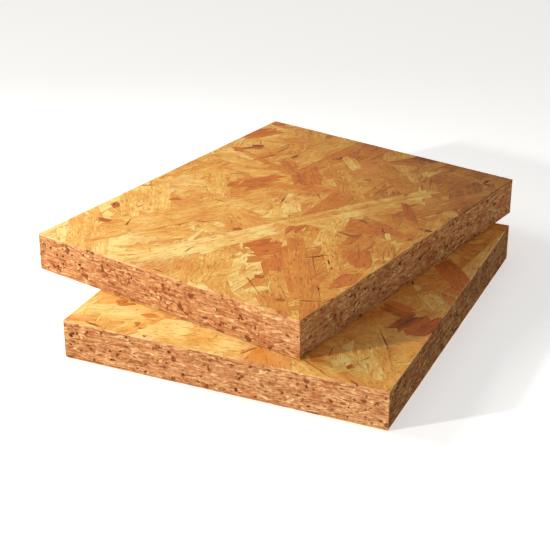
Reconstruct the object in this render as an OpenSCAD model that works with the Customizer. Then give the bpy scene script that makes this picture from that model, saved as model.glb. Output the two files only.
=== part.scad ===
// Stack of two oriented strand board (OSB) panels.
// Each panel is one pressed board with sawn, square edges. The lower panel lies
// flat with its underside centred on the origin. The upper panel lies on it,
// set back from the lower panel's near right corner and turned about its own.

/* [Lower panel] */
// Length of the lower panel, along Y
lower_length = 212; // [120:1:600]
// Width of the lower panel, along X
lower_width = 180; // [120:1:600]
// Thickness of the lower panel, a standard board gauge
lower_thickness = 22; // [6:1:30]

/* [Upper panel] */
// Length of the upper panel, along its own Y
upper_length = 224; // [120:1:600]
// Width of the upper panel, along its own X
upper_width = 176; // [120:1:600]
// Thickness of the upper panel, a standard board gauge
upper_thickness = 22; // [6:1:30]

/* [How the upper panel lies] */
// Set back of the upper panel's near corner from the lower one's, along X
setback_x = 51; // [0:1:55]
// Set back of the upper panel's near corner from the lower one's, along Y
setback_y = 11; // [0:1:55]
// Turn of the upper panel about its near corner, clockwise seen from above
turn_angle = 12; // [0:1:30]

/* [Hidden] */

// The near corner of each panel is its +X, -Y corner.
lower_near_corner = [lower_width / 2, -lower_length / 2];
upper_near_corner = lower_near_corner + [-setback_x, setback_y];

// A board whose near corner, on its underside, is at the origin
module board(width, length, thickness) {
    translate([-width, 0, 0])
        cube([width, length, thickness]);
}

module lower_panel() {
    color("peru")
        translate([lower_near_corner.x, lower_near_corner.y, 0])
            board(lower_width, lower_length, lower_thickness);
}

module upper_panel() {
    color("sandybrown")
        translate([upper_near_corner.x, upper_near_corner.y, lower_thickness])
            rotate([0, 0, -turn_angle])
                board(upper_width, upper_length, upper_thickness);
}

lower_panel();
upper_panel();
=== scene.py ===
import math
import random
import time

import bmesh
import bpy
from mathutils import Matrix, Vector


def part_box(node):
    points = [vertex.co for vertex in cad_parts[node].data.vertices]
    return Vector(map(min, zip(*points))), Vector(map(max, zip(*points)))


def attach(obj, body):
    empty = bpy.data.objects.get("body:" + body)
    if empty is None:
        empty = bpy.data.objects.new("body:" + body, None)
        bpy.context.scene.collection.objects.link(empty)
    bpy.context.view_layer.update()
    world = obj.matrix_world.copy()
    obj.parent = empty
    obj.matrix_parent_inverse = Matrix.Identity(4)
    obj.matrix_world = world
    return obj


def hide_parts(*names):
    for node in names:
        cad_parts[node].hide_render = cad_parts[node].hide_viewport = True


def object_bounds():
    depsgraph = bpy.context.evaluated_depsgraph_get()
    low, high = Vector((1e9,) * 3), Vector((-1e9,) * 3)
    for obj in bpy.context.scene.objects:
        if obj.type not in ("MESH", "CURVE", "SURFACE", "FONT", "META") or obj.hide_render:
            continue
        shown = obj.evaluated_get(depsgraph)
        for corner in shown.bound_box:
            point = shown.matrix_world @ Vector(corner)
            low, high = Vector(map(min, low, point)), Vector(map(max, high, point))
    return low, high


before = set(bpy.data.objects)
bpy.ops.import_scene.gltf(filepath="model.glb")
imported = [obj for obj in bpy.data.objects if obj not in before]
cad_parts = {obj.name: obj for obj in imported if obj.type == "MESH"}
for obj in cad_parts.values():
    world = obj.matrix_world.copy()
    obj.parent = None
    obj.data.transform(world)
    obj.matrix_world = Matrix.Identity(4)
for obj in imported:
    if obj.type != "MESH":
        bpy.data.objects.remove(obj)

started = time.time()
cadLow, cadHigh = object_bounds()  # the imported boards' own box, before anything is added
mm = 0.001


def report(stage):
    print(f"[{time.time() - started:5.1f} s] {stage}")


def clamp(value, low, high):
    return min(high, max(low, value))


view = {
    "azimuth": 23.81, "elevation": 26.06, "distance": 0.8368, "target": (-0.0287, 0.0286, 0.0),
    "lens": 92.9, "clip": (0.02, 30),
}


def directionFrom(azimuth, elevation):
    az, el = math.radians(azimuth), math.radians(elevation)
    return Vector((math.sin(az) * math.cos(el), -math.cos(az) * math.cos(el), math.sin(el)))


def aim(obj, towards):
    obj.rotation_euler = (Vector(towards) - obj.location).to_track_quat("-Z", "Y").to_euler()


def makeCamera():
    data = bpy.data.cameras.new("camera")
    data.lens = view["lens"]
    data.clip_start, data.clip_end = view["clip"]
    camera = bpy.data.objects.new("camera", data)
    target = Vector(view["target"])
    offset = directionFrom(view["azimuth"], view["elevation"]) * view["distance"]
    camera.location = target + offset
    aim(camera, target)
    bpy.context.scene.collection.objects.link(camera)
    bpy.context.scene.camera = camera


# azimuth and elevation are seen from the point each light is aimed at
lights = {
    "key": {
        "azimuth": -47.6, "elevation": 17.5, "distance": 1.3, "at": (0.04, -0.095, 0.03),
        "size": 0.07, "spread": 180, "power": 15.5, "colour": (1.0, 0.94, 0.86),
    },
    "side": {
        "azimuth": -100.0, "elevation": 32.0, "distance": 0.58, "at": (-0.09, -0.08, 0.04),
        "size": 0.3, "spread": 80, "power": 0.85, "colour": (1.0, 0.97, 0.92),
    },
    "roof": {
        "azimuth": -30.0, "elevation": 78.0, "distance": 1.6, "at": (0.0, 0.05, 0.0),
        "size": 1.6, "spread": 180, "power": 1.4, "colour": (1.0, 0.98, 0.96),
    },
    "fill": {
        "azimuth": 72.0, "elevation": 10.0, "distance": 1.2, "at": (0.06, 0.0, 0.03),
        "size": 0.4, "spread": 180, "power": 1.15, "colour": (1.0, 0.90, 0.74),
    },
}
surround = {"strength": 0.36, "colour": (1.0, 0.95, 0.88, 1)}


def makeLights():
    for name, light in lights.items():
        data = bpy.data.lights.new(name, "AREA")
        data.shape = "DISK"
        data.size = light["size"]
        data.energy = light["power"]
        data.color = light["colour"]
        data.spread = math.radians(light["spread"])
        lamp = bpy.data.objects.new(name, data)
        offset = directionFrom(light["azimuth"], light["elevation"]) * light["distance"]
        lamp.location = Vector(light["at"]) + offset
        aim(lamp, light["at"])
        bpy.context.scene.collection.objects.link(lamp)
    world = bpy.data.worlds.new("surround")
    world.use_nodes = True
    background = world.node_tree.nodes["Background"]
    background.inputs["Color"].default_value = surround["colour"]
    background.inputs["Strength"].default_value = surround["strength"]
    bpy.context.scene.world = world
    bpy.context.scene.view_settings.view_transform = "Standard"


class Wire:
    def __init__(self, graph, socket):
        self.graph = graph
        self.socket = socket

    def __add__(self, other):
        return self.graph.maths("ADD", self, other)

    def __radd__(self, other):
        return self.graph.maths("ADD", other, self)

    def __sub__(self, other):
        return self.graph.maths("SUBTRACT", self, other)

    def __rsub__(self, other):
        return self.graph.maths("SUBTRACT", other, self)

    def __mul__(self, other):
        return self.graph.maths("MULTIPLY", self, other)

    def __rmul__(self, other):
        return self.graph.maths("MULTIPLY", other, self)


class Graph:
    def __init__(self, name):
        self.material = bpy.data.materials.new(name)
        self.material.use_nodes = True
        self.tree = self.material.node_tree
        self.shader = self.tree.nodes["Principled BSDF"]

    def node(self, kind, settings, sockets, output=0):
        made = self.tree.nodes.new("ShaderNode" + kind)
        for key, value in settings.items():
            if key == "stops":
                self.setStops(made.color_ramp, value)
            else:
                setattr(made, key, value)
        for key, value in sockets.items():
            self.feed(made.inputs[key], value)
        return Wire(self, made.outputs[output])

    def setStops(self, ramp, stops):
        while len(ramp.elements) < len(stops):
            ramp.elements.new(0.5)  # each moves to its own place next
        for element, (place, colour) in zip(ramp.elements, stops):
            element.position = place
            element.color = colour

    def feed(self, socket, value):
        if isinstance(value, Wire):
            self.tree.links.new(value.socket, socket)
        else:
            socket.default_value = value

    def maths(self, operation, first, second):
        return self.node("Math", {"operation": operation}, {0: first, 1: second})

    def number(self, name):
        return self.node("Attribute", {"attribute_name": name}, {}, "Fac")

    def grain(self):
        # centimetres along and across each strand
        split = self.node("SeparateXYZ", {}, {0: self.node("UVMap", {"uv_map": "grain"}, {})})
        return [Wire(self, split.socket.node.outputs[axis]) for axis in ("X", "Y")]

    def noise(self, place, pattern):
        scale, detail, roughness = pattern
        sockets = {"Vector": place, "Scale": scale, "Detail": detail, "Roughness": roughness}
        return self.node("TexNoise", {}, sockets)

    def grainNoise(self, along, across, seed, grainPattern):
        stretch, pattern = grainPattern
        sockets = {0: along * stretch[0], 1: across * stretch[1], 2: seed * stretch[2]}
        return self.noise(self.node("CombineXYZ", {}, sockets), pattern)

    def rise(self, value, limits):
        sockets = {"Value": value, "From Min": limits[0], "From Max": limits[1]}
        return self.node("MapRange", {"interpolation_type": "SMOOTHSTEP"}, sockets)

    def blend(self, factor, first, second, how="MIX"):
        # sockets 6 and 7, and output 2, are the Mix node's colours
        sockets = {"Factor": factor, 6: first, 7: second}
        return self.node("Mix", {"data_type": "RGBA", "blend_type": how}, sockets, 2)

    def finish(self, colour, roughness, height, look):
        bump = {"Strength": 1.0, "Distance": look["bump"] * mm, "Height": height}
        self.feed(self.shader.inputs["Base Color"], colour)
        self.feed(self.shader.inputs["Roughness"], roughness)
        self.feed(self.shader.inputs["Specular IOR Level"], look["specular"])
        self.feed(self.shader.inputs["Normal"], self.node("Bump", {}, bump))
        return self.material


def linear(*screen):
    # a screen colour as the linear light that a shader works in
    shares = [c / 255 for c in screen]
    return (*(((c + 0.055) / 1.055) ** 2.4 if c > 0.04045 else c / 12.92 for c in shares), 1)


# A noise pattern is its scale, detail and roughness. One that follows the grain has its stretch
# along and across the strand, and its jump from one strand to the next, in front of them.
strandFinish = {
    "tones": [
        (0.0, linear(70, 38, 20)), (0.2, linear(140, 74, 30)), (0.4, linear(196, 112, 42)),
        (0.6, linear(213, 140, 58)), (0.8, linear(228, 173, 84)), (1.0, linear(242, 212, 134)),
    ],
    "fleck": linear(104, 56, 25), "resin": linear(86, 46, 22), "russet": linear(206, 102, 38),
    # painted shade: the colour is multiplied by this as far as each corner's share of painted shade
    # goes
    "dim": (0.52, 0.62, 0.62, 1),
    "patterns": {
        "wander": ((0.35, 0.5, 31), (1.0, 2.0, 0.5)),
        "rings": ((0.06, 3.4, 57), (1.0, 2.0, 0.6)),
        "fibre": ((0.8, 18, 83), (1.0, 3.0, 0.65)),
        "cloud": ((0.5, 0.8, 19), (1.0, 2.0, 0.5)),
        "dashes": ((2.2, 9, 7), (1.0, 3.0, 0.6)),
        "patches": (36.0, 3.0, 0.55), "stain": (27.0, 3.0, 0.6), "specks": (330.0, 2.0, 0.5),
    },
    "wander": 0.4,
    "shade": {"rings": 0.32, "fibre": 0.40, "cloud": 0.42, "patches": 0.50, "paleDashes": 0.26},
    "ranges": {
        "paleDashes": (0.46, 0.28), "darkDashes": (0.56, 0.68), "heartwood": (0.74, 1.0),
        "stain": (0.54, 0.68), "specks": (0.68, 0.78),
    },
    "cover": {"heartwood": 0.42, "stain": 0.32, "darkDashes": 0.5, "specks": 0.45},
    "heartwoodStray": 0.6,
    "roughness": {"middle": 0.5, "fibre": 0.25, "cloud": 0.15},
    "height": {"fibre": 0.6, "rings": 0.6, "darkDashes": 0.4},
    "bump": 0.2, "specular": 0.35,
}


def makeStrandFinish():
    look = strandFinish
    patterns, shades, ranges, cover = (look[k] for k in ("patterns", "shade", "ranges", "cover"))
    graph = Graph("strandFinish")
    along, across = graph.grain()
    tone, seed = graph.number("tone"), graph.number("seed")
    # noise runs about 0.5, so taking 0.5 off leaves the middle tone where it is
    wander = graph.grainNoise(along, across, seed, patterns["wander"]) - 0.5
    bent = across + wander * look["wander"]  # the fibres stray a little from the strand's own line
    rings = graph.grainNoise(along, bent, seed, patterns["rings"]) - 0.5
    fibre = graph.grainNoise(along, bent, seed, patterns["fibre"]) - 0.5
    cloud = graph.grainNoise(along, across, seed, patterns["cloud"]) - 0.5
    dashes = graph.grainNoise(along, bent, seed, patterns["dashes"])
    place = graph.node("TexCoord", {}, {}, "Object")
    patches = graph.noise(place, patterns["patches"]) - 0.5
    shade = tone + rings * shades["rings"] + fibre * shades["fibre"] + cloud * shades["cloud"]
    shade = shade + patches * shades["patches"]
    shade = shade + graph.rise(dashes, ranges["paleDashes"]) * shades["paleDashes"]
    colour = graph.node("ValToRGB", {"stops": look["tones"]}, {"Fac": shade})
    stray = look["heartwoodStray"]
    heartwood = graph.rise(seed + cloud * stray + rings * stray, ranges["heartwood"])
    colour = graph.blend(heartwood * cover["heartwood"], colour, look["russet"])
    stain = graph.rise(graph.noise(place, patterns["stain"]), ranges["stain"])
    colour = graph.blend(stain * cover["stain"], colour, look["russet"])
    darkDashes = graph.rise(dashes, ranges["darkDashes"])
    colour = graph.blend(darkDashes * cover["darkDashes"], colour, look["fleck"])
    specks = graph.rise(graph.noise(place, patterns["specks"]), ranges["specks"])
    colour = graph.blend(specks * cover["specks"], colour, look["resin"])
    # painted shade: darkens the top towards its back right corner
    colour = graph.blend(graph.number("dim"), colour, look["dim"], "MULTIPLY")
    rough, high = look["roughness"], look["height"]
    roughness = rough["middle"] + fibre * rough["fibre"] + cloud * rough["cloud"]
    height = fibre * high["fibre"] + rings * high["rings"] - darkDashes * high["darkDashes"]
    return graph.finish(colour, roughness, height, look)


sawnFinish = {
    "tones": [
        (0.0, linear(80, 40, 22)), (0.2, linear(126, 70, 39)), (0.4, linear(163, 103, 60)),
        (0.6, linear(187, 131, 86)), (0.8, linear(204, 154, 104)), (1.0, linear(222, 186, 132)),
    ],
    # rust and pit are the wood's own marks; the last colour is multiplied in for painted shade
    "rust": linear(166, 82, 36), "pit": linear(112, 48, 16), "dim": (0.52, 0.62, 0.52, 1),
    "patterns": {
        "streak": ((2.6, 11, 71), (1.0, 3.0, 0.6)),
        "grains": (480.0, 3.0, 0.65), "blots": (150.0, 2.0, 0.6),
        "rust": (85.0, 3.0, 0.6), "pits": (190.0, 2.0, 0.5),
    },
    "shade": {"streak": 0.30, "grains": 0.75, "blots": 0.55},
    "ranges": {"rust": (0.54, 0.70), "pits": (0.62, 0.69)},
    "cover": {"rust": 0.45, "pits": 0.8},
    "roughness": {"middle": 0.78, "grains": 0.2},
    "height": {"streak": 0.4, "grains": 0.7},
    "bump": 0.3, "specular": 0.04,
}


def makeSawnFinish():
    look = sawnFinish
    patterns, shades, ranges, cover = (look[k] for k in ("patterns", "shade", "ranges", "cover"))
    graph = Graph("sawnFinish")
    along, across = graph.grain()
    tone, seed = graph.number("tone"), graph.number("seed")
    streak = graph.grainNoise(along, across, seed, patterns["streak"]) - 0.5
    place = graph.node("TexCoord", {}, {}, "Object")
    grains = graph.noise(place, patterns["grains"]) - 0.5
    blots = graph.noise(place, patterns["blots"]) - 0.5
    shade = tone + streak * shades["streak"] + grains * shades["grains"] + blots * shades["blots"]
    colour = graph.node("ValToRGB", {"stops": look["tones"]}, {"Fac": shade})
    rust = graph.rise(graph.noise(place, patterns["rust"]), ranges["rust"])
    colour = graph.blend(rust * cover["rust"], colour, look["rust"])
    pits = graph.rise(graph.noise(place, patterns["pits"]), ranges["pits"])
    colour = graph.blend(pits * cover["pits"], colour, look["pit"])
    # painted shade: darkens the edges that lie in shade, as far as each corner's share goes
    colour = graph.blend(graph.number("dim"), colour, look["dim"], "MULTIPLY")
    roughness = look["roughness"]["middle"] + grains * look["roughness"]["grains"]
    height = streak * look["height"]["streak"] + grains * look["height"]["grains"] - pits
    return graph.finish(colour, roughness, height, look)


coreFinish = {
    "dark": linear(100, 46, 18), "light": linear(156, 86, 42),
    "patch": (260.0, 3.0, 0.6), "range": (0.35, 0.7),
    "roughness": 0.9, "bump": 0.3, "specular": 0.04,
}


def makeCoreFinish():
    look = coreFinish
    graph = Graph("coreFinish")
    patch = graph.noise(graph.node("TexCoord", {}, {}, "Object"), look["patch"])
    colour = graph.blend(graph.rise(patch, look["range"]), look["dark"], look["light"])
    return graph.finish(colour, look["roughness"], patch, look)


def placement(across, up, out, origin):
    # takes millimetres on a face, or in a board, to their place in the scene
    turned = Matrix((across, up, out)).transposed().to_4x4()
    return Matrix.Translation(origin) @ turned @ Matrix.Scale(mm, 4)


def boardFrame(node):
    # the board's sizes in millimetres and its directions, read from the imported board's corners
    points = [v.co.copy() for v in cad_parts[node].data.vertices]
    low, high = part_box(node)
    flat = [Vector((p.x, p.y, 0)) for p in points if p.z < (low.z + high.z) / 2]
    near = max(flat, key=lambda p: p.x - p.y)
    far = max(flat, key=lambda p: (p - near).length)
    sides = [p for p in flat if mm < (p - near).length and mm < (p - far).length]
    left = min(sides, key=lambda p: p.x)
    right = max(sides, key=lambda p: p.x + p.y)
    across, along = near - left, right - near
    centre = (near + far) / 2
    return {
        "width": across.length / mm, "length": along.length / mm,
        "thickness": (high.z - low.z) / mm,
        "x": across.normalized(), "y": along.normalized(), "z": Vector((0, 0, 1)),
        "centre": Vector((centre.x, centre.y, (low.z + high.z) / 2)),
    }


def facePlacement(board, side):
    x, y, z = board["x"], board["y"], board["z"]
    width, length, thickness = (board[k] * mm / 2 for k in ("width", "length", "thickness"))
    across, up, out, reach = {
        "top": (x, y, z, thickness), "under": (-x, y, -z, thickness),
        "front": (x, z, -y, length), "back": (-x, z, y, length),
        "right": (y, z, x, width), "left": (-y, z, -x, width),
    }[side]
    return placement(across, up, out, board["centre"] + out * reach)


# A strand is a group of slats, each a convex outline in millimetres on the board's face. Strands
# are laid in order, and each keeps only what no later one covers.
def newGroup(draw, x, y, angle, tone, gap, hole=False):
    return {
        "x": x, "y": y, "angle": angle, "tone": tone, "gap": gap, "hole": hole,
        "seed": draw.random(), "lift": draw.random(),
        "tilt": (draw.uniform(-1, 1), draw.uniform(-1, 1)),
    }


def turnOf(group):
    angle = math.radians(group["angle"])
    return math.cos(angle), math.sin(angle)


def slat(points, group, tone):
    c, s = turnOf(group)
    outline = [(group["x"] + c * x - s * y, group["y"] + s * x + c * y) for x, y in points]
    xs, ys = [p[0] for p in outline], [p[1] for p in outline]
    box = (min(xs), min(ys), max(xs), max(ys))
    return {"outline": outline, "box": box, "group": group, "tone": tone}


splitting = {
    "slatWidth": (3, 6), "mostSlats": 5, "lineStray": 0.3,  # stray in slat widths
    "slant": 0.9,  # how far the broken ends run along the strand for a millimetre across it
    "shortest": 6, "shortReach": 0.3,  # a slat under 6 widths long reaches 0.3 of the strand
    "tipShortest": 0.2, "tipShare": 0.4,  # in slat widths, and as the most of a slat's length
    "bow": 0.1, "bowMost": 1.0, "bowStray": 0.1,  # the strand's long sides bulge a little
    "toneSpread": 0.025, "darkest": 0.04,
}


def splitStrand(draw, length, width, group, fray, point):
    # each slat runs out to a splintered tip, and the strand's ends are broken on a slant
    look = splitting
    count = clamp(round(width / draw.uniform(*look["slatWidth"])), 1, look["mostSlats"])
    lines = []
    for i in range(count + 1):
        stray = draw.uniform(-look["lineStray"], look["lineStray"]) if 0 < i < count else 0
        lines.append(-width / 2 + width * (i + stray) / count)
    slants = [draw.gauss(0, look["slant"]) for _ in range(2)]
    bow, stray = min(look["bow"] * width, look["bowMost"]), look["bowStray"]
    slats = []
    for low, high in zip(lines, lines[1:]):
        wide, middle = high - low, (low + high) / 2
        start = -length / 2 + slants[0] * middle + draw.uniform(0, fray)
        end = length / 2 + slants[1] * middle - draw.uniform(0, fray)
        if end - start < look["shortest"] * wide:
            start = min(start, -length * look["shortReach"])
            end = max(end, length * look["shortReach"])
        longest = min(point, look["tipShare"] * (end - start) / wide)
        tips = [draw.uniform(look["tipShortest"], longest) * wide for _ in range(2)]
        cuts = [(tip, 0) if draw.random() < 0.5 else (0, tip) for tip in tips]
        outline = [(start + cuts[0][0], low), (end - cuts[1][0], low)]
        outline += [(end - cuts[1][1], high), (start + cuts[0][1], high)]
        if low == lines[0]:
            outline.insert(1, (draw.uniform(-stray, stray) * length, low - bow))
        if high == lines[-1]:
            outline.insert(-1, (draw.uniform(-stray, stray) * length, high + bow))
        tone = clamp(group["tone"] + draw.gauss(0, look["toneSpread"]), look["darkest"], 1)
        slats.append(slat(outline, group, tone))
    return slats


sliverWaist = (-0.5, 0.75)  # where a sliver is widest, as a share of half its length


def sliver(draw, length, width, group):
    half, side = length / 2, width / 2
    waist = [draw.uniform(*sliverWaist) * half for _ in range(2)]
    ends = [draw.uniform(-0.5, 0.5) * side for _ in range(2)]
    points = [(-half, ends[0]), (-waist[0], -side), (half, ends[1]), (waist[1], side)]
    return [slat(points, group, group["tone"])]


def apart(a, b):
    if a["group"] is b["group"]:
        return True
    if a["box"][2] < b["box"][0] or b["box"][2] < a["box"][0]:
        return True
    if a["box"][3] < b["box"][1] or b["box"][3] < a["box"][1]:
        return True
    for first, second in ((a["outline"], b["outline"]), (b["outline"], a["outline"])):
        for (x0, y0), (x1, y1) in zip(first, first[1:] + first[:1]):
            nx, ny = y1 - y0, x0 - x1
            level = nx * x0 + ny * y0
            if all(nx * x + ny * y >= level for x, y in second):
                return True
    return False


cutting = {"tolerance": 1e-4, "smallestScrap": 0.02, "flatAngle": 0.01}


def cutAway(bm, outline, gap):
    tolerance = cutting["tolerance"]
    inside = bm.faces[:]
    for (x0, y0), (x1, y1) in zip(outline, outline[1:] + outline[:1]):
        out = Vector((y1 - y0, x0 - x1, 0)).normalized()
        at = Vector((x0, y0, 0)) + out * gap
        reach = [(v.co - at).dot(out) for f in inside for v in f.verts]
        if max(reach) < tolerance:
            continue
        if min(reach) > -tolerance:
            return
        edges = {e for f in inside for e in f.edges}
        corners = {v for f in inside for v in f.verts}
        parts = [*inside, *edges, *corners]
        cut = bmesh.ops.bisect_plane(bm, geom=parts, dist=tolerance, plane_co=at, plane_no=out)
        faces = [g for g in cut["geom"] if isinstance(g, bmesh.types.BMFace)]
        inside = [f for f in faces if (f.calc_center_median() - at).dot(out) < 0]
        if not inside:
            return
    bmesh.ops.delete(bm, geom=inside, context="FACES")


def visiblePart(piece, above, width, height):
    bm = bmesh.new()
    bm.faces.new([bm.verts.new((x, y, 0)) for x, y in piece["outline"]])
    for out in (Vector((1, 0, 0)), Vector((-1, 0, 0)), Vector((0, 1, 0)), Vector((0, -1, 0))):
        reach = width / 2 if out.x else height / 2
        parts = bm.verts[:] + bm.edges[:] + bm.faces[:]
        bmesh.ops.bisect_plane(bm, geom=parts, dist=cutting["tolerance"], plane_co=out * reach,
                               plane_no=out, clear_outer=True)
    for other in above:
        if not bm.faces:
            break
        if not apart(piece, other):
            cutAway(bm, other["outline"], other["group"]["gap"])
    scraps = [f for f in bm.faces if f.calc_area() < cutting["smallestScrap"]]
    bmesh.ops.delete(bm, geom=scraps, context="FACES")
    if bm.faces:
        bmesh.ops.dissolve_limit(bm, angle_limit=cutting["flatAngle"], verts=bm.verts[:],
                                 edges=bm.edges[:])
    return bm


# how deep a strand lies, in shares of the relief: the first ones lie deepest, each a little deeper
# by chance, and its tilt is given for tiltSpan millimetres
laying = {"deepest": 0.5, "byOrder": 0.35, "byChance": 0.3, "tilt": 0.2, "tiltSpan": 60}
grainUnit = 10  # millimetres in one unit of the grain map
underShrink = 0.01  # the hidden undersides take little of the flat OFBake map
ownSurface, sawnSurface, coreSurface = 0, 1, 2


def thicken(bm, group, skin, relief):
    # sinks and tilts the strand, then carries it down to the bottom of the skin
    share = laying["deepest"] - laying["byOrder"] * group["order"]
    depth = relief * (share + laying["byChance"] * group["lift"])
    slope = [relief * laying["tilt"] * tilt / laying["tiltSpan"] for tilt in group["tilt"]]
    for v in bm.verts:
        dx, dy = v.co.x - group["x"], v.co.y - group["y"]
        v.co.z = min(0, -depth + slope[0] * dx + slope[1] * dy)
    tops = bm.faces[:]
    grown = bmesh.ops.extrude_face_region(bm, geom=tops, use_keep_orig=True)["geom"]
    for v in grown:
        if isinstance(v, bmesh.types.BMVert):
            v.co.z = -skin
    bottoms = {f for f in grown if isinstance(f, bmesh.types.BMFace)}
    bmesh.ops.recalc_face_normals(bm, faces=bm.faces[:])
    return set(tops), bottoms


def markStrand(bm, piece, tops, bottoms, width, height, topSurface, paintedShadeAt):
    # gives each corner its tone, seed, share of painted shade and place along the grain
    group = piece["group"]
    c, s = turnOf(group)
    tone, seed, dim = (bm.verts.layers.float.new(kind) for kind in ("tone", "seed", "dim"))
    grain, flat = (bm.loops.layers.uv.new(kind) for kind in ("grain", "OFBake"))
    for v in bm.verts:
        v[tone], v[seed] = piece["tone"], group["seed"]
        v[dim] = paintedShadeAt(v.co.x, v.co.y)
    for f in bm.faces:
        onTop, below = f in tops, f in bottoms
        f.material_index = topSurface if onTop else coreSurface if below else sawnSurface
        for loop in f.loops:
            co = loop.vert.co
            dx, dy = co.x - group["x"], co.y - group["y"]
            if onTop or below:
                loop[grain].uv = ((c * dx + s * dy) / grainUnit, (c * dy - s * dx) / grainUnit)
            else:
                loop[grain].uv = ((dx + dy) / grainUnit, co.z / grainUnit)
            share = underShrink if below else 1
            loop[flat].uv = ((0.5 + co.x / width) * share, (0.5 + co.y / height) * share)


def layStrands(name, laid, width, height, look, topSurface, paintedShadeAt):
    for order, slats in enumerate(laid):
        slats[0]["group"]["order"] = order / len(laid)
    slats = [piece for strand in laid for piece in strand]
    mosaic = bmesh.new()
    for kind in ("tone", "seed", "dim"):
        mosaic.verts.layers.float.new(kind)
    for kind in ("grain", "OFBake"):
        mosaic.loops.layers.uv.new(kind)
    spare = bpy.data.meshes.new("spare")
    shown = 0
    for rank, piece in enumerate(slats):
        if piece["group"]["hole"]:
            continue
        bm = visiblePart(piece, slats[rank + 1:], width, height)
        if bm.faces:
            tops, bottoms = thicken(bm, piece["group"], look["skin"], look["relief"])
            markStrand(bm, piece, tops, bottoms, width, height, topSurface, paintedShadeAt)
            bm.to_mesh(spare)
            mosaic.from_mesh(spare)
            shown += 1
        bm.free()
    bpy.data.meshes.remove(spare)
    report(f"{name}: {shown} of {len(slats)} slats show, {len(mosaic.faces)} faces")
    return mosaic


def finishPiece(name, bm, matrix):
    bm.transform(matrix)
    mesh = bpy.data.meshes.new(name)
    bm.to_mesh(mesh)
    bm.free()
    for material in finishes:
        mesh.materials.append(material)
    piece = bpy.data.objects.new(name, mesh)
    bpy.context.scene.collection.objects.link(piece)
    return piece


# lengths and widths in millimetres, angles in degrees, tones from 0, dark, to 1, pale
faceStrands = {
    "skin": 0.95, "relief": 0.36, "angle": 90, "angleSpread": 48,
    "toneSpread": 0.105, "toneRange": (0.08, 0.98),
    "ground": {
        "pitch": (17, 60), "length": 100, "width": 26, "stagger": 8, "turn": 3, "fray": 2,
        "gap": 0.03,
    },
    "broad": {"count": 110, "length": (60, 130), "width": (11, 24), "fray": 12},
    "narrow": {"count": 110, "length": (30, 85), "width": (4, 11), "fray": 8},
    "chips": {"count": 110, "length": (6, 22), "width": (1.2, 4.5), "fray": 3},
    "splinters": {"count": 110, "length": (3, 13), "width": (0.5, 1.7)},
    "voids": {"count": 22, "length": (1.0, 3.2), "width": (0.4, 1.1)},
    "reach": 0.55, "gaps": (0.0, 0.0, 0.02, 0.04, 0.12), "point": 1.8, "buried": 0.1,
    "chipTone": {"spread": 0.16, "shift": 0.03, "darkest": 0.15},
    "splinterTone": {"paler": 0.2, "darker": 0.15, "dark": 0.25, "darkest": 0.05},
}
# the strands listed one by one: a seed near 1 gives a strand the russet heartwood
standOut = {
    "gaps": (0.0, 0.03, 0.1), "sliverUnder": 2.5, "fray": 0.14, "frayMost": 12, "point": 1.1,
    "darkUnder": 0.45, "darkSeeds": (0.9, 0.1), "paleSeeds": 0.7,
}
driftSpan = 100  # drifts are given for this many millimetres


# a strand's tone: the drift's middle tone, its slopes painting shade across the board, and a random
# spread
def faceTone(draw, drift, x, y):
    middle, slopeX, slopeY = drift
    spread = draw.gauss(0, faceStrands["toneSpread"])
    tone = middle + slopeX * x / driftSpan + slopeY * y / driftSpan + spread
    return clamp(tone, *faceStrands["toneRange"])


def groundStrands(draw, width, height, drift):
    look = faceStrands["ground"]
    stepX, stepY = look["pitch"]
    laid = []
    columns, rows = math.ceil(width / stepX) + 1, math.ceil(height / stepY) + 1
    for i in range(columns):
        for j in range(rows):
            x = (i + 0.5 - columns / 2) * stepX
            y = (j + 0.5 - rows / 2) * stepY + draw.uniform(-look["stagger"], look["stagger"])
            angle = faceStrands["angle"] + draw.gauss(0, look["turn"])
            group = newGroup(draw, x, y, angle, faceTone(draw, drift, x, y), look["gap"])
            strand = splitStrand(draw, look["length"], look["width"], group, look["fray"],
                                 faceStrands["point"])
            laid.append(strand)
    draw.shuffle(laid)
    return laid


def scatteredStrands(draw, width, height, kind, drift):
    look, reach = faceStrands[kind], faceStrands["reach"]
    chip, splinter = faceStrands["chipTone"], faceStrands["splinterTone"]
    laid = []
    for _ in range(look["count"]):
        length, wide = draw.uniform(*look["length"]), draw.uniform(*look["width"])
        x, y = draw.uniform(-reach, reach) * width, draw.uniform(-reach, reach) * height
        angle = draw.gauss(faceStrands["angle"], faceStrands["angleSpread"])
        gap = draw.choice(faceStrands["gaps"])
        tone = faceTone(draw, drift, x, y)
        if kind == "chips":
            tone = max(chip["darkest"], tone - abs(draw.gauss(0, chip["spread"])) + chip["shift"])
        if kind in ("splinters", "voids"):
            tones = (tone, tone + splinter["paler"], tone - splinter["darker"], splinter["dark"])
            tone = clamp(draw.choice(tones), splinter["darkest"], 1)
            group = newGroup(draw, x, y, angle, tone, gap, kind == "voids")
            laid.append(sliver(draw, length, wide, group))
        else:
            group = newGroup(draw, x, y, angle, tone, gap)
            laid.append(splitStrand(draw, length, wide, group, look["fray"], faceStrands["point"]))
    return laid


def listedStrand(draw, x, y, angle, length, wide, tone):
    look = standOut
    group = newGroup(draw, x, y, angle, tone, draw.choice(look["gaps"]))
    if tone > look["darkUnder"]:
        group["seed"] = look["paleSeeds"] * group["seed"]
    else:
        group["seed"] = look["darkSeeds"][0] + look["darkSeeds"][1] * group["seed"]
    if wide < look["sliverUnder"]:
        return sliver(draw, length, wide, group)
    fray = min(look["frayMost"], length * look["fray"])
    return splitStrand(draw, length, wide, group, fray, look["point"])


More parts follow.
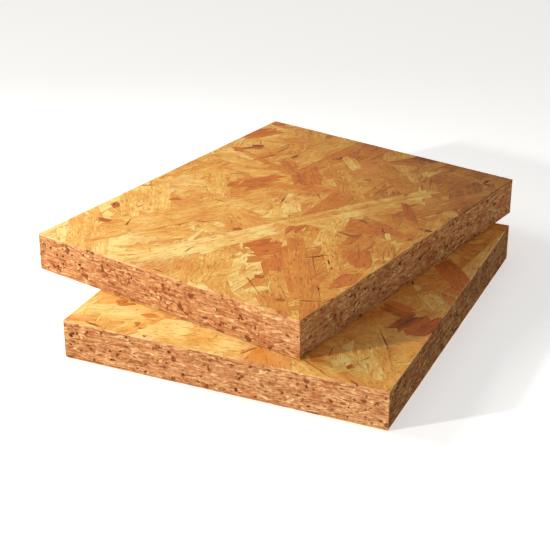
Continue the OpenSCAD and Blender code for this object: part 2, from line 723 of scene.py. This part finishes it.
def makeFace(name, board, side, seed, drift, paintedShade, strands=(), holes=()):
    draw = random.Random(seed)
    width, height = board["width"], board["length"]
    laid = groundStrands(draw, width, height, drift)
    mixed = []
    for kind in ("broad", "narrow", "chips"):
        mixed += scatteredStrands(draw, width, height, kind, drift)
    draw.shuffle(mixed)
    # the broad ones mostly lie lower
    mixed.sort(key=lambda slats: -len(slats) * draw.uniform(faceStrands["buried"], 1))
    laid += mixed
    for strand in strands:
        laid.append(listedStrand(draw, *strand))
    for kind in ("splinters", "voids"):
        laid += scatteredStrands(draw, width, height, kind, drift)
    for x, y, angle, length, wide in holes:
        laid.append(sliver(draw, length, wide, newGroup(draw, x, y, angle, 0, 0, True)))

    # painted shade, growing towards the top's back right corner
    def paintedShadeAt(x, y):
        return paintedShade * clamp(x / width + y / height, 0, 1)

    mosaic = layStrands(name, laid, width, height, faceStrands, ownSurface, paintedShadeAt)
    return finishPiece(name, mosaic, facePlacement(board, side))


# the sawn edges show strand ends in wavy rows, over a backing, with marks and voids on top
edgeStrands = {
    "skin": 1.2, "relief": 0.26, "pitch": 1.0, "darkest": 0.05,
    "backing": {
        "step": 30, "stagger": 4, "reach": 20, "overlap": 1.2, "tone": 0.5, "shift": (-0.15, 0.1),
    },
    "rows": {
        "length": (2.0, 6.0), "lap": 1.5, "thick": (0.7, 1.6), "slope": 9.0, "tone": (0.66, 0.12),
        "wave": 0.6, "waveLength": 52, "phase": 0.6, "start": 6, "jitter": 0.25,
        "gaps": (0.0, 0.0, 0.03, 0.08),
    },
    "marks": {
        "pale": {"perArea": 0.006, "length": (1.5, 3.6), "width": (0.8, 1.7), "tone": (0.85, 1.0)},
        "dark": {"perArea": 0.013, "length": (1.2, 3.2), "width": (1.0, 2.3), "tone": (0.06, 0.3)},
        "voids": {"perArea": 0.004, "length": (0.9, 2.2), "width": (0.7, 1.6), "tone": (0.0, 0.0)},
    },
    "markReach": (0.5, 0.46), "markTurn": 14,
}


# the edge's painted shade at x: its shift, and its drift along the edge
def edgeShade(shade, x):
    return shade["shift"] + shade["drift"] * x / driftSpan


def edgeTone(shade, x, tone):
    return clamp(edgeShade(shade, x) + tone, edgeStrands["darkest"], 1)


def edgeBacking(draw, width, height, rows, shade):
    look = edgeStrands["backing"]
    reach, half = look["reach"], edgeStrands["pitch"] * look["overlap"] / 2
    outline = [(-reach, -half), (reach, -half), (reach, half), (-reach, half)]
    laid = []
    for row in range(rows):
        y = -height / 2 + row * edgeStrands["pitch"]
        for column in range(math.ceil(width / look["step"]) + 1):
            x = -width / 2 + look["step"] * column + draw.uniform(-look["stagger"], look["stagger"])
            tone = look["tone"] + edgeShade(shade, x) + draw.uniform(*look["shift"])
            laid.append([slat(outline, newGroup(draw, x, y, 0, tone, 0.0), tone)])
    return laid


def edgeRows(draw, width, height, rows, shade):
    look = edgeStrands["rows"]
    laid = []
    for row in range(rows):
        phase = draw.uniform(0, look["phase"])
        x = -width / 2 - draw.uniform(0, look["start"])
        while x < width / 2:
            length = draw.uniform(*look["length"])
            turn = (x + length / 2) / look["waveLength"] + phase
            wave = look["wave"] * math.sin(math.tau * turn)
            y = -height / 2 + row * edgeStrands["pitch"] + wave
            y += draw.uniform(-look["jitter"], look["jitter"])
            tone = edgeTone(shade, x, draw.gauss(*look["tone"]))
            angle, gap = draw.gauss(0, look["slope"]), draw.choice(look["gaps"])
            group = newGroup(draw, x + length / 2, y, angle, tone, gap)
            laid.append(sliver(draw, length * look["lap"], draw.uniform(*look["thick"]), group))
            x += length
    draw.shuffle(laid)
    return laid


def edgeMarks(draw, width, height, shade):
    reachX, reachY = edgeStrands["markReach"]
    laid = []
    for kind, look in edgeStrands["marks"].items():
        for _ in range(int(look["perArea"] * width * height)):
            x, y = draw.uniform(-reachX, reachX) * width, draw.uniform(-reachY, reachY) * height
            tone = edgeTone(shade, x, draw.uniform(*look["tone"]))
            angle = draw.gauss(0, edgeStrands["markTurn"])
            group = newGroup(draw, x, y, angle, tone, 0.0, kind == "voids")
            length, wide = draw.uniform(*look["length"]), draw.uniform(*look["width"])
            laid.append(sliver(draw, length, wide, group))
    return laid


def makeEdge(name, board, side, seed, shade):
    draw = random.Random(seed)
    height = board["thickness"] - 2 * faceStrands["skin"]
    width = board["width"]
    if side in ("left", "right"):
        width = board["length"] - 2 * edgeStrands["skin"]
    rows = math.ceil(height / edgeStrands["pitch"]) + 1
    laid = edgeBacking(draw, width, height, rows, shade)
    laid += edgeRows(draw, width, height, rows, shade)
    laid += edgeMarks(draw, width, height, shade)

    # painted shade, even over the whole edge
    def paintedShadeAt(x, y):
        return shade["paintedShade"]

    mosaic = layStrands(name, laid, width, height, edgeStrands, sawnSurface, paintedShadeAt)
    return finishPiece(name, mosaic, facePlacement(board, side))


coreOverlap = 0.05  # how far the core reaches into the strand layers, in millimetres


def makeCore(name, board):
    side, face = edgeStrands["skin"] - coreOverlap, faceStrands["skin"] - coreOverlap
    size = (board["width"] - 2 * side, board["length"] - 2 * side, board["thickness"] - 2 * face)
    bm = bmesh.new()
    bmesh.ops.create_cube(bm, size=1)
    bmesh.ops.scale(bm, vec=size, verts=bm.verts[:])
    for f in bm.faces:
        f.material_index = coreSurface
    return finishPiece(name, bm, placement(board["x"], board["y"], board["z"], board["centre"]))


plain = {"shift": 0, "drift": 0, "paintedShade": 0}
underDrift = (0.6, 0, 0)
looks = {
    "lower": {
        "seed": 100,
        # the drift's slopes darken the top towards the back right: painted shade of the light falling
        # off
        "drift": (0.76, -0.06, -0.04),  # the top's middle tone, and its change across and along
        "paintedShade": 0.0,  # how much painted shade darkens the top at its back right corner
        "edges": {  # painted shade: shift is paler or darker than the other edges, drift its change along it
            # the right edges lie in shade and take the most painted shade
            "front": {"shift": -0.01, "drift": 0.04, "paintedShade": 0.0},
            "right": {"shift": -0.17, "drift": 0.0, "paintedShade": 0.7},
            "back": plain, "left": plain,
        },
        # strands that stand out on the top, the lowest first: x, y, angle, length, width, tone
        "strands": [
            (-60, -84, 20, 44, 18, 0.88), (-10, -94, 5, 56, 20, 0.84), (-35, -92, 10, 30, 19, 1.00),
            (-71, -76, 30, 10, 6, 0.46), (-51, -83, 40, 13, 5, 0.46), (74, -80, -62, 44, 16, 0.74),
            (66, -24, -20, 24, 12, 0.40), (64, -51, -56, 34, 6, 0.70), (80, -37, 74, 28, 20, 0.22),
            (58, -87, -70, 16, 9, 0.92), (64, -91, -50, 5, 3, 0.26), (67, 4, -55, 11, 3, 0.98),
            (78, 30, -50, 40, 12, 0.40), (70, -58, -56, 24, 0.9, 0.2), (50, -80, -82, 12, 0.7, 0.2),
            (50, -99, -28, 22, 0.9, 0.2),
        ],
        # open voids in the top: x, y, angle, length, width
        "holes": [(62, 10, -60, 5, 1.2), (63, 8, -20, 3, 1.1), (38, -100, -40, 4, 1.0)],
    },
    "upper": {
        # the upper's top is darkest at its back right corner, with painted shade from its drift's
        # slopes and at that corner
        "seed": 200, "drift": (0.70, -0.16, -0.16), "paintedShade": 1.0,
        "edges": {
            "front": {"shift": -0.02, "drift": 0.04, "paintedShade": 0.0},
            "right": {"shift": -0.01, "drift": -0.05, "paintedShade": 0.2},
            "back": plain, "left": plain,
        },
        "strands": [
            (-72, -40, -50, 60, 28, 0.86), (-66, -96, 130, 56, 22, 0.80), (-46, -4, -48, 60, 12, 0.76),
            (62, -100, -45, 44, 13, 0.58), (80, -92, -56, 46, 9, 0.50), (32, -104, -42, 34, 9, 0.70),
            (12, -94, 118, 52, 30, 0.70), (24, -52, 62, 26, 17, 0.42), (40, -66, -52, 26, 13, 0.42),
            (-38, -42, 63, 124, 20, 0.75), (38, 20, 63, 110, 14, 0.76), (-5, -70, 64, 106, 14, 0.90),
            (51, -62, -51, 82, 12, 0.50), (64, -46, -50, 78, 8, 0.70), (74, -36, -54, 26, 11, 0.44),
            (82, -62, 100, 24, 9, 0.44), (26, -88, 72, 28, 5, 0.82), (50, -98, 62, 20, 5, 0.80),
            (-14, 41, -50, 24, 16, 0.44), (-34, 16, 60, 34, 15, 0.43), (8, 50, -44, 66, 11, 0.58),
            (-82, 88, 62, 34, 12, 0.42), (-69, 66, 30, 11, 7, 0.22), (-77, 56, -40, 12, 5, 0.34),
            (-80, -57, -36, 11, 4, 0.24), (-71, -77, 12, 12, 4, 0.30), (-58, -30, 40, 10, 3, 0.42),
            (-3, -43, 50, 7, 2.6, 0.28), (43, -84, 20, 8, 3, 0.24), (67, -99, 20, 7, 3.2, 0.24),
            (71, -3, -55, 10, 2.8, 0.98), (78, -18, -60, 30, 10, 0.64), (63, 33, -50, 30, 5, 0.40),
            (-5, 78, -40, 30, 7, 0.74), (30, 72, -35, 50, 12, 0.50), (-50, 92, 35, 40, 10, 0.62),
            (46, -94, -36, 20, 0.9, 0.22), (52, -88, -58, 20, 0.9, 0.95), (36, -80, 35, 14, 0.9, 0.3),
            (58, -56, -51, 30, 0.8, 0.2), (68, -28, -55, 22, 0.8, 0.25), (6, 24, -42, 26, 0.8, 0.3),
        ],
        "holes": [
            (64, 3, -60, 5, 1.4), (66, 1, -15, 4, 1.1), (77, 99, 80, 9, 1.8), (79, 96, 60, 5, 1.6),
            (63, -49, -55, 6, 1.2), (68, -54, -40, 4, 1.0), (-82, -56, -45, 5, 0.9),
            (-1, -44, 50, 3, 0.9), (-11, -49, 20, 3, 0.9), (15, -79, 60, 3.5, 0.9),
            (76, -78, -60, 4, 1.0),
        ],
    },
}
floorLook = {
    "size": 40.0, "gap": 0.0001,
    "sockets": {
        "Base Color": (0.80, 0.82, 0.84, 1), "Roughness": 0.9,
        "Emission Color": (1, 1, 1, 1), "Emission Strength": 0.45,
    },
}


def makeBoard(name, look):
    board = boardFrame(f"{name}_panel")
    seed = look["seed"]
    pieces = [
        makeFace(f"{name}_top_strands", board, "top", seed + 1, look["drift"], look["paintedShade"],
                 look["strands"], look["holes"]),
        makeFace(f"{name}_under_strands", board, "under", seed + 2, underDrift, 0),
        makeCore(f"{name}_core", board),
    ]
    for number, (side, shade) in enumerate(look["edges"].items()):
        pieces.append(makeEdge(f"{name}_{side}_edge", board, side, seed + 3 + number, shade))
    for piece in pieces:
        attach(piece, "root")
        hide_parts(f"{name}_panel")


def makeFloor():
    bm = bmesh.new()
    bmesh.ops.create_grid(bm, x_segments=1, y_segments=1, size=floorLook["size"] / 2)
    bmesh.ops.translate(bm, vec=(0, 0, cadLow.z - floorLook["gap"]), verts=bm.verts[:])
    mesh = bpy.data.meshes.new("floor")
    bm.to_mesh(mesh)
    bm.free()
    graph = Graph("floorFinish")
    for key, value in floorLook["sockets"].items():
        graph.feed(graph.shader.inputs[key], value)
    mesh.materials.append(graph.material)
    floor = bpy.data.objects.new("floor", mesh)
    bpy.context.scene.collection.objects.link(floor)


makeCamera()
makeLights()
finishes = [makeStrandFinish(), makeSawnFinish(), makeCoreFinish()]
report("camera, lights and finishes")
for name, look in looks.items():
    makeBoard(name, look)
makeFloor()
report("boards and floor are in place")
